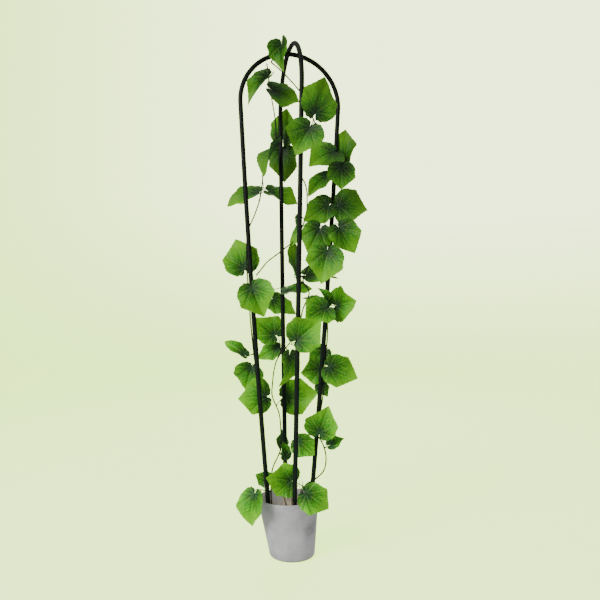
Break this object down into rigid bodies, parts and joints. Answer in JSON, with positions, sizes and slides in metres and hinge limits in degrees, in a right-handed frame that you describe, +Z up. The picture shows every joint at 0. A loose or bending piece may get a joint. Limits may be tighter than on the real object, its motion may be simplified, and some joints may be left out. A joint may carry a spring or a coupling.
{
  "type": "garden obelisk",
  "caption": "Slim hooped garden obelisk of coated steel tube standing in a small cement pot, wound with an artificial ivy vine over a straw mulch.",
  "frame": {"origin": "on the flat underside of the pot, on the obelisk's own axis", "axes": "+Z up; the lower hoop stands in the XZ plane and the upper hoop in the YZ plane; -Y is the front"},
  "size_m": [0.3306, 0.3319, 1.2043],
  "materials": {
    "pot_cement": "cast cement, matt, light grey with faint mottling",
    "plug_cement": "rough cast cement, hidden under straw",
    "straw": "dry straw, matt",
    "hoop_plastic_coat": "extruded polyethylene sleeve, near-black green, soft shine",
    "hoop_steel": "welded steel tube, hidden inside the sleeve",
    "foot_cap": "moulded cap, matt black",
    "vine_stem": "plastic-coated wire, dark brown-green",
    "leaf_fabric": "printed woven polyester, stiffened, green with a dark centre and pale veins"
  },
  "bodies": {
    "pot": {"pot": "pot_cement"},
    "planted_frame": {"filling_plug": "plug_cement", "straw_mulch": "straw", "lower_hoop_coat": "hoop_plastic_coat", "lower_hoop_core": "hoop_steel", "lower_hoop_foot_cap_1": "foot_cap", "lower_hoop_foot_cap_2": "foot_cap", "upper_hoop_coat": "hoop_plastic_coat", "upper_hoop_core": "hoop_steel", "upper_hoop_foot_cap_1": "foot_cap", "upper_hoop_foot_cap_2": "foot_cap", "vine_stem_right": "vine_stem", "vine_stem_left": "vine_stem", "vine_stem_cross": "vine_stem", "vine_stem_middle": "vine_stem", "leaf_01": "leaf_fabric", "leaf_02": "leaf_fabric", "leaf_03": "leaf_fabric", "leaf_04": "leaf_fabric", "leaf_05": "leaf_fabric", "leaf_06": "leaf_fabric", "leaf_07": "leaf_fabric", "leaf_08": "leaf_fabric", "leaf_09": "leaf_fabric", "leaf_10": "leaf_fabric", "leaf_11": "leaf_fabric", "leaf_12": "leaf_fabric", "leaf_13": "leaf_fabric", "leaf_14": "leaf_fabric", "leaf_15": "leaf_fabric", "leaf_16": "leaf_fabric", "leaf_17": "leaf_fabric", "leaf_18": "leaf_fabric", "leaf_19": "leaf_fabric", "leaf_20": "leaf_fabric", "leaf_21": "leaf_fabric", "leaf_22": "leaf_fabric", "leaf_23": "leaf_fabric", "leaf_24": "leaf_fabric", "leaf_25": "leaf_fabric", "leaf_26": "leaf_fabric", "leaf_27": "leaf_fabric", "leaf_28": "leaf_fabric", "leaf_29": "leaf_fabric", "leaf_30": "leaf_fabric", "leaf_31": "leaf_fabric", "leaf_32": "leaf_fabric", "leaf_33": "leaf_fabric", "leaf_34": "leaf_fabric", "leaf_35": "leaf_fabric", "leaf_36": "leaf_fabric", "leaf_37": "leaf_fabric", "leaf_38": "leaf_fabric", "leaf_39": "leaf_fabric", "leaf_40": "leaf_fabric", "leaf_41": "leaf_fabric", "leaf_42": "leaf_fabric", "leaf_43": "leaf_fabric", "leaf_44": "leaf_fabric", "leaf_45": "leaf_fabric"}
  },
  "joints": [
    {"name": "frame_lift", "type": "slide", "parent": "pot", "child": "planted_frame", "axis": [0, 0, 1], "range_m": [0, 0.14]}
  ]
}
